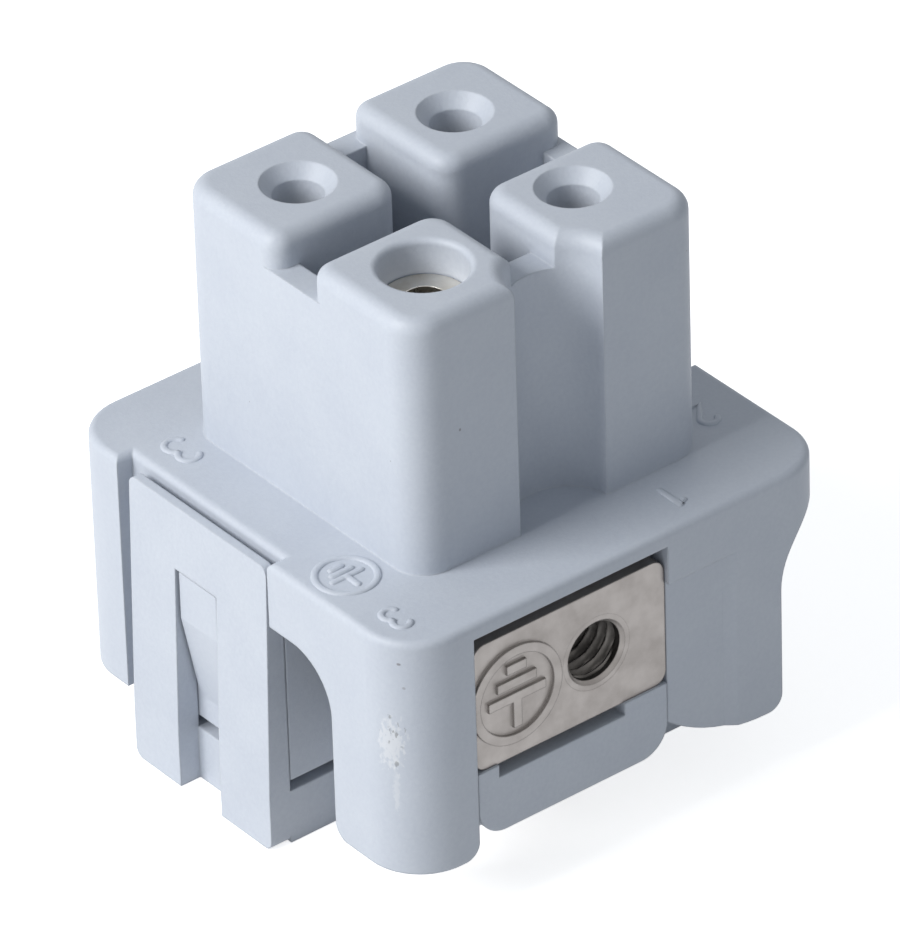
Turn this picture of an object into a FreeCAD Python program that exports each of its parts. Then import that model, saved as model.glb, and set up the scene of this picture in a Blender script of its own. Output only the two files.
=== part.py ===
import FreeCAD
import Part

import os
import re

# Square heavy duty connector insert, female: three power sockets and an earth socket.
# Millimetres, +Z towards the mating face. The origin is the centre of the square, level with the underside
# of the retaining cap, on which the insert stands. -X is the face with the clip panel and -Y is the face
# with the earth plate. Heights are written from the flange top, which the core and the base set.

SIZES = {
    # Flange
    "flange_side": 21.0,
    "flange_corner": 2.4,
    "flange_thick": 2.4,
    "flange_round": 0.3,
    "lip_thick": 0.65,
    # Socket towers and the webs between them
    "tower_rise": 11.3,
    "tower_wall": 3.25,
    "tower_inner": 2.78,
    "tower_corner": 1.4,
    "tower_round": 0.7,
    "channel_shift": 0.09,
    "channel_floor": 1.5,
    "channel_corner": 1.0,
    "channel_end_round": 0.8,
    "web_thick": 1.15,
    "web_drop": 1.45,
    "coding_radius": 2.12,
    "coding_inset": 0.2,
    # Where the sockets stand
    "socket_reach": 3.8,
    "right_socket_reach": 3.28,
    "mouth_radius": 1.02,
    "mouth_long": 1.8,
    "funnel_radius": 1.5,
    "funnel_deep": 0.55,
    "earth_mouth_long": 1.5,
    "earth_mouth_round": 0.25,
    # Legs, windows and the terminal core below the flange
    "leg_past_core": 0.2,
    "leg_thick": 1.5,
    "leg_round": 0.8,
    "front_leg_wide": 4.6,
    "arch_drop": 2.9,
    "arch_round": 2.3,
    "window_right": 2.2,
    "left_leg_wide": 3.4,
    "right_leg_inset": 2.75,
    "right_leg_sweep": 7.5,
    "right_crest_inset": 3.5,
    "right_leg_step": 5.0,
    "right_leg_slant": 0.55,
    "corner_arch_drop": 5.2,
    "corner_arch_radius": 3.3,
    "core_front": 2.15,
    "core_drop": 10.4,
    "bay_left_wall": 0.75,
    "bay_front_wall": 1.27,
    "chamber_roof": 0.5,
    "earth_pocket_room": 0.3,
    "access_radius": 2.0,
    # Retaining cap
    "base_gap": 0.5,
    "base_thick": 2.4,
    "base_front_wall": 0.62,
    "base_bay_inset": 0.3,
    "base_rear": 7.35,
    "clip_inset": 0.75,
    "clip_top_drop": 0.3,
    "clip_flare": 0.3,
    "clip_start": 2.15,
    "clip_relief": 0.35,
    "clip_relief_drop": 1.6,
    "clip_leg_gap": 0.75,
    "clip_slot_start": 0.98,
    "clip_slot_end": 3.55,
    "clip_slot_drop": 3.2,
    "clip_corner": 0.4,
    "far_clip_start": 0.9,
    "far_recess_start": 2.2,
    "tooth_gap": 0.13,
    "tooth_land": 2.1,
    "tooth_ramp": 3.9,
    "bar_drop": 10.0,
    "bar_rise": 2.5,
    "bar_corner": 1.3,
    "bar_shoulder_left": 1.0,
    "bar_shoulder_right": 2.05,
    "rib_thick": 0.8,
    "rib_rise": 1.6,
    "rib_gap": 0.2,
    "rib_foot_deep": 1.3,
    "entry_radius": 1.7,
    "entry_funnel": 2.1,
    # Earth plate
    "plate_recess": 0.2,
    "plate_thick": 1.2,
    "plate_top_drop": 1.25,
    "plate_high": 5.7,
    "plate_corner": 0.6,
    "plate_hole_x": 1.2,
    "plate_hole_drop": 4.06,
    "thread_radius": 1.5,
    "thread_sink": 0.12,
    "collar_radius": 2.3,
    "collar_long": 1.2,
    "tab_rim": 0.2,
    "tab_end": 1.0,
    "symbol_x": 5.13,
    "symbol_drop": 4.11,
    "symbol_radius": 2.18,
    "symbol_line": 0.4,
    "symbol_rise": 0.12,
    "symbol_bar_long": 2.75,
    "symbol_bar_middle": 1.88,
    "symbol_bar_short": 0.94,
    "symbol_bar_drop": 0.29,
    "symbol_step": 0.67,
    "symbol_stem": 1.18,
    # Sockets and their screw terminals
    "pin_bore": 0.85,
    "socket_radius": 1.5,
    "socket_slit": 0.3,
    "socket_slit_long": 6.0,
    "pin_deep": 8.0,
    "earth_pin_bore": 0.85,
    "earth_socket_radius": 1.7,
    "terminal_side": 4.6,
    "terminal_edge": 0.3,
    "terminal_room": 0.15,
    "wire_radius": 1.4,
    "wire_deep": 6.2,
    "wire_offset": 0.4,
    "earth_terminal_drop": 9.9,
    "seat_gap": 0.05,
    # Clamp screws
    "screw_radius": 1.45,
    "screw_long": 3.4,
    "screw_tip": 0.05,
    "screw_drop": 6.6,
    "screw_slot": 0.5,
    "screw_slot_deep": 0.8,
    "screw_chamfer": 0.3,
    "tap_deep": 1.45,
}

TOP = "(base_thick + base_gap + core_drop)"
CROWN = f"({TOP} + tower_rise)"
UNDER_FLANGE = f"({TOP} - flange_thick)"
CORE_FOOT = f"({TOP} - core_drop)"
LEG_FOOT = f"({TOP} - core_drop - leg_past_core)"
CHAMBER_TOP = f"({TOP} - flange_thick - chamber_roof)"
HALF = "(flange_side / 2)"
TOWER_HALF = "(socket_reach + tower_wall)"
TERMINAL_HALF = "(terminal_side / 2)"
LEG_BACK = "(flange_side / 2 - leg_thick)"
CORE = "(flange_side / 2 - clip_inset)"
LEFT_LEG = "(flange_side / 2 - left_leg_wide)"
FRONT_LEG = "(flange_side / 2 - front_leg_wide)"
RIGHT_LEG = "(flange_side / 2 - right_leg_inset)"
RIGHT_CREST = "(flange_side / 2 - right_crest_inset)"
WINDOW_LEFT = "(socket_reach + terminal_side / 2 + rib_gap + rib_thick + 2 * seat_gap)"
BAY_LEFT = "(socket_reach - terminal_side / 2 - terminal_room - bay_left_wall)"
BAY_FRONT = "(right_socket_reach + terminal_side / 2 + terminal_room + bay_front_wall)"
CLIP_END = "(flange_side / 2 - left_leg_wide - clip_leg_gap)"
PLATE_FRONT = "(plate_recess - flange_side / 2)"
PLATE_BACK = "(plate_recess - flange_side / 2 + plate_thick)"
SCREW_OUT = "(screw_tip + screw_long)"

# How far a cutting solid runs past the face that it opens, and how close counts as the same place.
PAST = 0.5
CLOSE = 1e-4

# The most of a wall that a fillet may take.
FILLET_SHARE = 0.9

# Each socket's place across the face, and the way that its clamp screw is driven from.
SOCKETS = {
    "left": ("-socket_reach", "socket_reach", "+Y"),
    "back": ("socket_reach", "socket_reach", "+Y"),
    "right": ("socket_reach", "-right_socket_reach", "+X"),
}
EARTH = ("-socket_reach", "-socket_reach", "-X")
TURNS = {"+X": ((0, 1, 0), 90), "-X": ((0, 1, 0), -90), "+Y": ((1, 0, 0), -90), "-Y": ((1, 0, 0), 90)}
BACK = {"+X": "-X", "-X": "+X", "+Y": "-Y", "-Y": "+Y"}

# Each clip arm's side and its start in Y.
CLIPS = {"near": (-1, "-clip_start"), "far": (1, "-far_clip_start")}

doc = FreeCAD.newDocument("ConnectorInsert")


def fill_sheet():
    """Put every driving size in the sheet, its name beside it and as its alias."""
    sheet = doc.addObject("Spreadsheet::Sheet", "Sizes")
    for row, (name, value) in enumerate(SIZES.items(), start=1):
        sheet.set(f"A{row}", name)
        sheet.set(f"B{row}", str(value))
        sheet.setAlias(f"B{row}", name)
    doc.recompute()
    return sheet


def cells(text):
    """Turn plain size names in a formula into references to the sheet."""
    return re.sub(r"[a-z]\w*", r"Sizes.\g<0>", str(text))


def number(text):
    """Work out a formula of size names as a number."""
    return float(sheet.evalExpression(cells(text)))


def block(name, x, y, z):
    """Add a box between two places along each axis, each a formula of size names."""
    solid = doc.addObject("Part::Box", name)
    for side, axis, (low, high) in zip(("Length", "Width", "Height"), "xyz", (x, y, z)):
        solid.setExpression(side, cells(f"({high}) - ({low})"))
        solid.setExpression(f"Placement.Base.{axis}", cells(low))
    return solid


def slanted(name, x_near, x_far, y, z):
    """Add a prism along Z whose span in X changes evenly from its low Y to its high Y."""
    solid = doc.addObject("Part::Wedge", name)
    spans = {"X": x_near, "X2": x_far, "Y": y, "Z": z, "Z2": z}
    for side, (low, high) in spans.items():
        solid.setExpression(f"{side}min", cells(low))
        solid.setExpression(f"{side}max", cells(high))
    return solid


def tapered(name, x_foot, x_top, y, z):
    """Add a prism along Y whose span in X changes evenly from its foot to its top."""
    solid = slanted(name, x_foot, x_top, z, (f"-({y[1]})", f"-({y[0]})"))
    solid.Placement.Rotation = FreeCAD.Rotation(FreeCAD.Vector(1, 0, 0), 90)
    return solid


def turned(kind, name, place, **sizes):
    """Add a cylinder or cone that stands along +Z at a place."""
    solid = doc.addObject(f"Part::{kind}", name)
    for side, text in sizes.items():
        solid.setExpression(side, cells(text))
    for axis, text in zip("xyz", place):
        solid.setExpression(f"Placement.Base.{axis}", cells(text))
    return solid


def rod(name, place, radius, height):
    """Add a cylinder that stands along +Z."""
    return turned("Cylinder", name, place, Radius=radius, Height=height)


def cone(name, place, radius_low, radius_high, height):
    """Add a cone that stands along +Z."""
    return turned("Cone", name, place, Radius1=radius_low, Radius2=radius_high, Height=height)


def laid(solid, way):
    """Turn a standing cylinder or cone so that it points along +X, -X, +Y or -Y."""
    axis, angle = TURNS[way]
    solid.Placement.Rotation = FreeCAD.Rotation(FreeCAD.Vector(*axis), angle)
    return solid


def joined(name, solids):
    """Fuse solids into one."""
    whole = doc.addObject("Part::MultiFuse", name)
    whole.Shapes = solids
    whole.Refine = True
    return whole


def cut(name, base, tools):
    """Cut one or more tools from a solid."""
    rest = doc.addObject("Part::Cut", name)
    rest.Base = base
    rest.Tool = tools[0] if len(tools) == 1 else joined(f"{name}_tools", tools)
    rest.Refine = True
    return rest


def rounded(name, base, radius, wanted):
    """Fillet the edges that a test picks."""
    doc.recompute()
    picked = [index for index, edge in enumerate(base.Shape.Edges, start=1) if wanted(edge)]
    fillet = doc.addObject("Part::Fillet", name)
    fillet.Base = base
    fillet.Edges = [(index, radius, radius) for index in picked]
    return fillet


def upright(edge):
    """Whether an edge runs along Z."""
    box = edge.BoundBox
    return box.XLength < CLOSE and box.YLength < CLOSE


def at(edge, **places):
    """Whether an edge lies at a given place along each named axis."""
    box = edge.BoundBox
    spans = {"x": (box.XMin, box.XMax), "y": (box.YMin, box.YMax), "z": (box.ZMin, box.ZMax)}
    return all(abs(end - place) < CLOSE for axis, place in places.items() for end in spans[axis])


def moved(x, y, way, distance):
    """Shift a place across the face by a distance along +X, -X, +Y or -Y."""
    shift = f"{way[0]} ({distance})"
    return (f"{x} {shift}", y) if way[1] == "X" else (x, f"{y} {shift}")


def span(place, side, near, far):
    """The two ends, low one first, of a stretch from near to far on the + or - side of a place."""
    if side == "+":
        return (f"{place} + ({near})", f"{place} + ({far})")
    return (f"{place} - ({far})", f"{place} - ({near})")


def around(place, half):
    """The two ends of a stretch that reaches equally far to both sides of a place."""
    return (f"{place} - {half}", f"{place} + {half}")


def named(solid, label):
    """Give the finished sub-part the name of its file."""
    solid.Label = label
    return solid


def square_block(name, half, corner, z):
    """Add a square block with rounded upright corners, centred on the axis."""
    body = block(f"{name}_square", around("0", half), around("0", half), z)
    return rounded(name, body, number(corner), upright)


def clip_recess(name):
    """The space in the left face that the clip panel fills, through the flange and down to the legs."""
    return block(
        name,
        (f"-{HALF} - {PAST}", f"-{CORE}"),
        ("-clip_start - seat_gap", LEFT_LEG),
        (f"{LEG_FOOT} - {PAST}", f"{TOP} + {PAST}"),
    )


def flange():
    """The square flange, with the recesses that take the clip panels."""
    body = square_block("flange_body", HALF, "flange_corner", (UNDER_FLANGE, TOP))
    far_recess = block(
        "far_recess",
        (CORE, f"{HALF} + {PAST}"),
        ("-far_recess_start", LEFT_LEG),
        (f"{UNDER_FLANGE} - {PAST}", f"{TOP} + {PAST}"),
    )
    notched = cut("flange_notched", body, [clip_recess("flange_recess"), far_recess])
    top = number(TOP)
    return rounded("flange_edges", notched, number("flange_round"), lambda edge: at(edge, z=top))


def towers():
    """Four square towers: one block, crossed by two channels and notched by the coding groove."""
    body = square_block("tower_body", TOWER_HALF, "tower_corner", (f"{TOP} - {PAST}", CROWN))
    channel = around("channel_shift", "(socket_reach - tower_inner)")
    wall = f"({TOWER_HALF} - web_thick)"
    front_wall = f"({TOWER_HALF} + coding_inset - coding_radius - web_thick)"
    out = f"({TOWER_HALF} + {PAST})"
    deep = (f"{TOP} + channel_floor", f"{CROWN} + {PAST}")
    shallow = (f"{CROWN} - web_drop", f"{CROWN} + {PAST}")
    groove = ("0", f"-{TOWER_HALF} - coding_inset", TOP)
    tools = [
        block("channel_deep_y", channel, (f"-{front_wall}", wall), deep),
        block("channel_deep_x", (f"-{wall}", wall), channel, deep),
        block("channel_top_y", channel, (f"-{out}", out), shallow),
        block("channel_top_x", (f"-{out}", out), channel, shallow),
        rod("coding_groove", groove, "coding_radius", f"tower_rise + {PAST}"),
    ]
    split = cut("tower_split", body, tools)
    inner = [number(place) for place in channel]
    outer = number(TOWER_HALF)
    crossings = [{"x": x, "y": y} for x in inner for y in inner]
    ends = [{"x": x, "y": y} for x in (-outer, outer) for y in inner] + [{"x": x, "y": outer} for x in inner]
    crown = number(CROWN)
    crossed = rounded(
        "tower_crossing",
        split,
        number("channel_corner"),
        lambda edge: any(at(edge, **crossing) for crossing in crossings),
    )
    eased = rounded(
        "tower_ends",
        crossed,
        number("channel_end_round"),
        lambda edge: any(at(edge, **end) for end in ends),
    )
    mouth = number("earth_socket_radius + seat_gap + earth_mouth_round")
    rim = min(number("tower_inner - channel_shift"), number("tower_wall")) - mouth
    round_top = min(number("tower_round"), FILLET_SHARE * rim)
    return rounded("tower_edges", eased, round_top, lambda edge: at(edge, z=crown))


def arch(face, far, under):
    """The rounded opening beside the front leg in the left face."""
    top = f"{TOP} - arch_drop"
    opening = block("arch_box", (f"-{face}", f"-{far}"), (f"-{FRONT_LEG}", "-core_front"), (under, top))
    corner = {"y": number(f"-{FRONT_LEG}"), "z": number(top)}
    radius = min(number("arch_round"), FILLET_SHARE * number(f"{FRONT_LEG} - core_front"))
    return rounded("arch", opening, radius, lambda edge: at(edge, **corner))


def leg_sweep(face, far, under):
    """The curved cut along the foot of the right leg."""
    corner = block(
        "sweep_box",
        ("window_right", RIGHT_CREST),
        (f"-{face}", f"-{far}"),
        (under, f"{LEG_FOOT} + right_leg_sweep / 2"),
    )
    centre = (RIGHT_CREST, f"-{face} - {PAST}", f"{LEG_FOOT} + right_leg_sweep")
    round_part = laid(rod("sweep_round", centre, "right_leg_sweep", f"{face} - {far} + 2 * {PAST}"), "+Y")
    return cut("sweep", corner, [round_part])


def leg_step():
    """The shallow recess of the right leg beside the earth plate, which runs out in a slant."""
    return slanted(
        "leg_step",
        ("window_right - flange_round", "right_leg_step + right_leg_slant"),
        ("window_right - flange_round", "right_leg_step"),
        (f"-{HALF}", PLATE_FRONT),
        (f"{LEG_FOOT} - {PAST}", f"{TOP} - lip_thick"),
    )


def legs():
    """The skirt of the flange, cut into a leg at each corner by the windows of the four faces."""
    under = f"{LEG_FOOT} - {PAST}"
    face = f"({HALF} + {PAST})"
    far = f"({LEG_BACK} - {PAST} / 2)"
    outer = square_block("skirt_outer", HALF, "flange_corner", (LEG_FOOT, UNDER_FLANGE))
    inside = (f"-{LEG_BACK}", LEG_BACK)
    above = f"{UNDER_FLANGE} + {PAST}"
    behind = f"{TOP} - corner_arch_drop"
    tools = [
        block("skirt_inner", inside, inside, (under, TOP)),
        arch(face, far, under),
        clip_recess("skirt_recess"),
        leg_sweep(face, far, under),
        leg_step(),
        block("near_window", (f"-{face}", f"-{far}"), ("-core_front", LEFT_LEG), (under, above)),
        block("far_window", (CORE, face), (f"-{BAY_FRONT}", LEFT_LEG), (under, above)),
        block("back_window", (f"-{LEFT_LEG}", LEFT_LEG), (far, face), (under, above)),
        block("corner_window", (RIGHT_LEG, face), (f"-{face}", f"-{BAY_FRONT}"), (under, behind)),
        block("skirt_window", (f"-{WINDOW_LEFT}", "window_right"), (f"-{face}", f"-{far}"), (under, TOP)),
    ]
    skirt = cut("skirt", outer, tools)
    foot = number(LEG_FOOT)
    ends = [
        {"y": number(f"-{FRONT_LEG}"), "z": foot},
        {"x": number(f"-{WINDOW_LEFT}"), "z": foot},
        {"x": number(RIGHT_LEG), "z": foot},
    ]
    foot_round = min(number("leg_round"), FILLET_SHARE * number(f"{RIGHT_LEG} - {RIGHT_CREST}"))
    return rounded("leg_set", skirt, foot_round, lambda edge: any(at(edge, **end) for end in ends))


def core():
    """The block below the flange that holds the terminals, with a bay in front for the right-hand one."""
    z = (CORE_FOOT, f"{UNDER_FLANGE} + {PAST}")
    main = block("core_main", (f"-{CORE}", CORE), ("-core_front", CORE), z)
    bay = block("core_bay", (BAY_LEFT, LEG_BACK), (f"-{BAY_FRONT}", f"-core_front + {PAST}"), z)
    pocket = block(
        "earth_pocket",
        around(EARTH[0], f"({TERMINAL_HALF} + earth_pocket_room)"),
        (f"-core_front - {PAST}", f"{EARTH[1]} + {TERMINAL_HALF} + earth_pocket_room"),
        (f"{CORE_FOOT} - {PAST}", UNDER_FLANGE),
    )
    return cut("core_block", joined("core_whole", [main, bay]), [pocket])


def tooth(name, side):
    """A snap tooth on the left (-1) or right (+1) side of the core: a land, then a ramp that runs out."""
    outer, inner, wall = f"{side} * {HALF}", f"{side} * ({CORE} - {PAST})", f"{side} * {CORE}"
    x_land = (outer, inner) if side < 0 else (inner, outer)
    x_foot = (wall, inner) if side < 0 else (inner, wall)
    y = ("clip_slot_start + tooth_gap", "clip_slot_end - tooth_gap")
    crest = f"({TOP} - clip_slot_drop - tooth_gap)"
    land_foot = f"{crest} - tooth_land"
    land = block(f"{name}_land", x_land, y, (land_foot, crest))
    ramp = tapered(f"{name}_ramp", x_foot, x_land, y, (f"{land_foot} - tooth_ramp", land_foot))
    return [land, ramp]


def power_bores(name, x, y, way):
    """Throat, funnel, socket bore, terminal chamber and screw access of one power socket."""
    room = f"({TERMINAL_HALF} + terminal_room)"
    throat_foot = f"{CROWN} - mouth_long"
    access = rod(f"{name}_access", (x, y, f"{TOP} - screw_drop"), "access_radius", "flange_side")
    funnel_place = (x, y, f"{CROWN} - funnel_deep")
    return [
        rod(f"{name}_throat", (x, y, f"{throat_foot} - {PAST}"), "mouth_radius", f"mouth_long + 2 * {PAST}"),
        cone(f"{name}_funnel", funnel_place, "mouth_radius", "funnel_radius", "funnel_deep"),
        rod(
            f"{name}_bore",
            (x, y, f"{CHAMBER_TOP} - {PAST}"),
            "socket_radius + seat_gap",
            f"{throat_foot} + seat_gap - ({CHAMBER_TOP} - {PAST})",
        ),
        block(
            f"{name}_chamber",
            around(x, room),
            around(y, room),
            (f"{CORE_FOOT} - {PAST}", CHAMBER_TOP),
        ),
        laid(access, way),
    ]


def earth_bores():
    """The open bore of the earth socket and the channel for the tab of the earth plate."""
    x, y, way = EARTH
    channel_end = f"{y} + earth_socket_radius + tab_end + seat_gap"
    access = rod("earth_access", (x, y, f"{TOP} - screw_drop"), "screw_radius + terminal_room", "flange_side")
    return [
        laid(access, way),
        rod(
            "earth_bore",
            (x, y, f"{UNDER_FLANGE} - {PAST}"),
            "earth_socket_radius + seat_gap",
            f"flange_thick + tower_rise + 2 * {PAST}",
        ),
        block(
            "tab_channel",
            around(x, "(earth_socket_radius + tab_rim + seat_gap)"),
            (PLATE_BACK, channel_end),
            (f"{UNDER_FLANGE} - {PAST}", f"{TOP} - plate_top_drop"),
        ),
    ]


def plate_room():
    """The window of the earth plate behind the flange's lip, and the room for its threaded collar."""
    window = block(
        "plate_window",
        (f"-{WINDOW_LEFT}", "window_right"),
        (f"-{HALF} - {PAST}", f"{PLATE_BACK} + seat_gap"),
        (LEG_FOOT, f"{TOP} - lip_thick"),
    )
    collar = rod(
        "collar_room",
        ("-plate_hole_x", PLATE_FRONT, f"{TOP} - plate_hole_drop"),
        "collar_radius + seat_gap",
        "plate_thick + collar_long + seat_gap",
    )
    return [window, laid(collar, "+Y")]


def insulator_body():
    """The main moulding."""
    solids = [flange(), towers(), legs(), core()]
    for name, (side, _) in CLIPS.items():
        solids += tooth(f"{name}_tooth", side)
    whole = joined("body_whole", solids)
    face = f"({HALF} + {PAST})"
    corner_place = (f"{RIGHT_LEG} + corner_arch_radius", f"-{face}", f"{TOP} - corner_arch_drop")
    corner_arch = laid(rod("corner_arch", corner_place, "corner_arch_radius", f"{face} - {BAY_FRONT}"), "+Y")
    tools = [corner_arch] + plate_room() + earth_bores()
    for name, (x, y, way) in SOCKETS.items():
        tools += power_bores(name, x, y, way)
    hollow = cut("body_hollow", whole, tools)
    crown, reach, mouth = number(CROWN), number(EARTH[0]), number("earth_socket_radius + seat_gap")

    def earth_rim(edge):
        box = edge.BoundBox
        middle, wide = (box.XMin + box.XMax) / 2, box.XMax - box.XMin
        return at(edge, z=crown) and abs(middle - reach) < CLOSE and abs(wide - 2 * mouth) < CLOSE

    return named(rounded("body_finished", hollow, number("earth_mouth_round"), earth_rim), "insulator_body")


def clip_arm(name, side, y_low):
    """One clip panel with its open slot, thicker towards the foot, on the left (-1) or right (+1) side."""
    root = f"{side} * ({CORE} + seat_gap)"
    top_face, foot_face = f"{side} * {HALF}", f"{side} * ({HALF} + clip_flare)"
    x_foot = (foot_face, root) if side < 0 else (root, foot_face)
    x_top = (top_face, root) if side < 0 else (root, top_face)
    y = (y_low, CLIP_END)
    z = ("0", f"{TOP} - clip_top_drop")
    foot = block(f"{name}_foot", x_foot, y, ("0", "base_thick"))
    upper = tapered(f"{name}_upper", x_foot, x_top, y, ("base_thick", z[1]))
    panel = joined(f"{name}_panel", [foot, upper])
    way = "-" if side < 0 else "+"
    slot_x = span("0", way, f"{CORE} - {PAST}", f"{HALF} + clip_flare + {PAST}")
    slot_y = ("clip_slot_start", "clip_slot_end")
    slot = block(f"{name}_slot", slot_x, slot_y, (f"-{PAST}", f"{TOP} - clip_slot_drop"))
    relief_x = span("0", way, CORE, f"{CORE} + clip_relief")
    relief_y = (f"{y_low} - {PAST}", f"{CLIP_END} + {PAST}")
    relief = block(f"{name}_relief", relief_x, relief_y, (f"{TOP} - clip_relief_drop", TOP))
    slotted = cut(f"{name}_slotted", panel, [slot, relief])
    corners = [{"y": number(low), "z": number(high)} for low in (y_low, CLIP_END) for high in z]
    return rounded(
        f"{name}_arm",
        slotted,
        number("clip_corner"),
        lambda edge: any(at(edge, **corner) for corner in corners),
    )


def cap_bar():
    """The bar below the earth plate, notched so that only its two shoulders carry the plate."""
    x = (f"-{WINDOW_LEFT} + 2 * seat_gap", "window_right - 2 * seat_gap")
    y = (f"-{HALF} + plate_recess / 2", PLATE_BACK)
    foot = f"{TOP} - bar_drop"
    top = f"{TOP} - plate_top_drop - plate_high"
    beam = block("bar_box", x, y, (foot, top))
    notch = block(
        "bar_notch",
        (f"{x[0]} + bar_shoulder_left", f"{x[1]} - bar_shoulder_right"),
        (f"{y[0]} - {PAST}", f"{y[1]} + {PAST}"),
        (f"{foot} + bar_rise", TOP),
    )
    ends = [{"x": number(end), "z": number(foot)} for end in x]
    return rounded(
        "bar",
        cut("bar_cut", beam, [notch]),
        number("bar_corner"),
        lambda edge: any(at(edge, **end) for end in ends),
    )


def cap_rib(name, x):
    """One rib that carries the bar from the base."""
    foot = f"{TOP} - bar_drop"
    z = (foot, f"{foot} + rib_rise")
    front = "-core_front - rib_foot_deep"
    return [
        block(f"{name}_rib", x, (f"{PLATE_BACK} - {PAST}", "-core_front - seat_gap"), z),
        block(f"{name}_rib_foot", x, (front, "-core_front - seat_gap"), ("0", z[1])),
        block(f"{name}_rib_root", x, (front, f"-core_front + {PAST}"), ("0", "base_thick")),
    ]


def retaining_cap():
    """The back moulding: base with wire entries, two clip arms, and the bar below the earth plate."""
    base_z = ("0", "base_thick")
    front = "-right_socket_reach - entry_funnel - base_front_wall"
    left_end = f"-{WINDOW_LEFT} + 2 * seat_gap"
    base_x = around("0", f"({CORE} + 2 * seat_gap)")
    bay_x = (f"{BAY_LEFT} + base_bay_inset", LEG_BACK)
    solids = [
        block("base_main", base_x, ("-core_front", "base_rear"), base_z),
        block("base_bay", bay_x, (front, f"-core_front + {PAST}"), base_z),
        cap_bar(),
    ]
    middle = f"({EARTH[0]} + {TERMINAL_HALF} + {BAY_LEFT}) / 2"
    solids += cap_rib("left", (left_end, f"{left_end} + rib_thick"))
    solids += cap_rib("right", around(middle, "rib_thick / 2"))
    solids += [clip_arm(f"{name}_clip", *clip) for name, clip in CLIPS.items()]
    tools = []
    funnel_long = "entry_funnel - entry_radius"
    for name, (x, y, way) in SOCKETS.items():
        entry_x, entry_y = moved(x, y, BACK[way], "wire_offset")
        through = f"base_thick + 2 * {PAST}"
        tools.append(rod(f"{name}_entry", (entry_x, entry_y, f"-{PAST}"), "entry_radius", through))
        place = (entry_x, entry_y, "0")
        tools.append(cone(f"{name}_entry_funnel", place, "entry_funnel", "entry_radius", funnel_long))
    return named(cut("cap_finished", joined("cap_whole", solids), tools), "retaining_cap")


def raised_symbol(left):
    """The embossed earth symbol's ring, three bars and stem, trimmed at the plate's left edge."""
    proud = (f"{PLATE_FRONT} - symbol_rise", f"{PLATE_FRONT} + plate_thick / 2")
    middle = f"({TOP} - symbol_drop)"
    deep = "symbol_rise + plate_thick / 2"
    disc = laid(rod("ring_disc", ("-symbol_x", proud[0], middle), "symbol_radius", deep), "+Y")
    inner_place = ("-symbol_x", f"{proud[0]} - {PAST}", middle)
    inside = laid(rod("ring_core", inner_place, "symbol_radius - symbol_line", f"{deep} + 2 * {PAST}"), "+Y")
    trim = block(
        "ring_trim",
        (f"{left} - 2 * {PAST}", left),
        (f"{proud[0]} - {PAST}", f"{proud[1]} + {PAST}"),
        around(middle, "plate_high / 2"),
    )
    first_bar = f"({middle} - symbol_bar_drop)"
    stem_z = (f"{first_bar} - symbol_stem", f"{first_bar} + symbol_line / 2")
    solids = [
        cut("ring", disc, [inside, trim]),
        block("symbol_stem_bar", around("-symbol_x", "symbol_line / 2"), proud, stem_z),
    ]
    for step, long in enumerate(("symbol_bar_long", "symbol_bar_middle", "symbol_bar_short")):
        low = f"({first_bar} + symbol_step * {step})"
        x = around("-symbol_x", f"{long} / 2")
        solids.append(block(f"symbol_bar_{step}", x, proud, (low, f"{low} + symbol_line")))
    return solids


def earth_plate():
    """The plated earth plate: front wall, threaded collar, raised symbol and the tab to the earth socket."""
    x = (f"-{WINDOW_LEFT} + seat_gap", "window_right - seat_gap")
    z = (f"{TOP} - plate_top_drop - plate_high", f"{TOP} - plate_top_drop")
    corners = [{"x": number(a), "z": number(b)} for a in x for b in z]
    wall = rounded(
        "plate_wall",
        block("plate_box", x, (PLATE_FRONT, PLATE_BACK), z),
        number("plate_corner"),
        lambda edge: any(at(edge, **corner) for corner in corners),
    )
    socket_x, socket_y, _ = EARTH
    tab_y = (f"{PLATE_BACK} - {PAST}", f"{socket_y} + earth_socket_radius + tab_end")
    tab_x = around(socket_x, "(earth_socket_radius + tab_rim)")
    tab = block("plate_tab", tab_x, tab_y, (f"{UNDER_FLANGE} - seat_gap", z[1]))
    height = f"{TOP} - plate_hole_drop"
    hole = ("-plate_hole_x", PLATE_FRONT, height)
    collar_place = ("-plate_hole_x", f"{PLATE_BACK} - {PAST}", height)
    collar = laid(rod("plate_collar", collar_place, "collar_radius", f"{PAST} + collar_long"), "+Y")
    bore = rod(
        "plate_thread",
        ("-plate_hole_x", f"{PLATE_FRONT} - {PAST}", height),
        "thread_radius",
        f"plate_thick + collar_long + 2 * {PAST}",
    )
    sink = cone("plate_sink", hole, "thread_radius + thread_sink", "thread_radius", "thread_sink")
    rivet_place = (socket_x, socket_y, f"{UNDER_FLANGE} - {PAST}")
    rivet = rod("plate_rivet_hole", rivet_place, "earth_socket_radius", f"flange_thick + {PAST}")
    whole = joined("plate_whole", [wall, tab, collar] + raised_symbol(x[0]))
    return named(cut("plate_finished", whole, [laid(bore, "+Y"), laid(sink, "+Y"), rivet]), "earth_plate")


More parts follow.
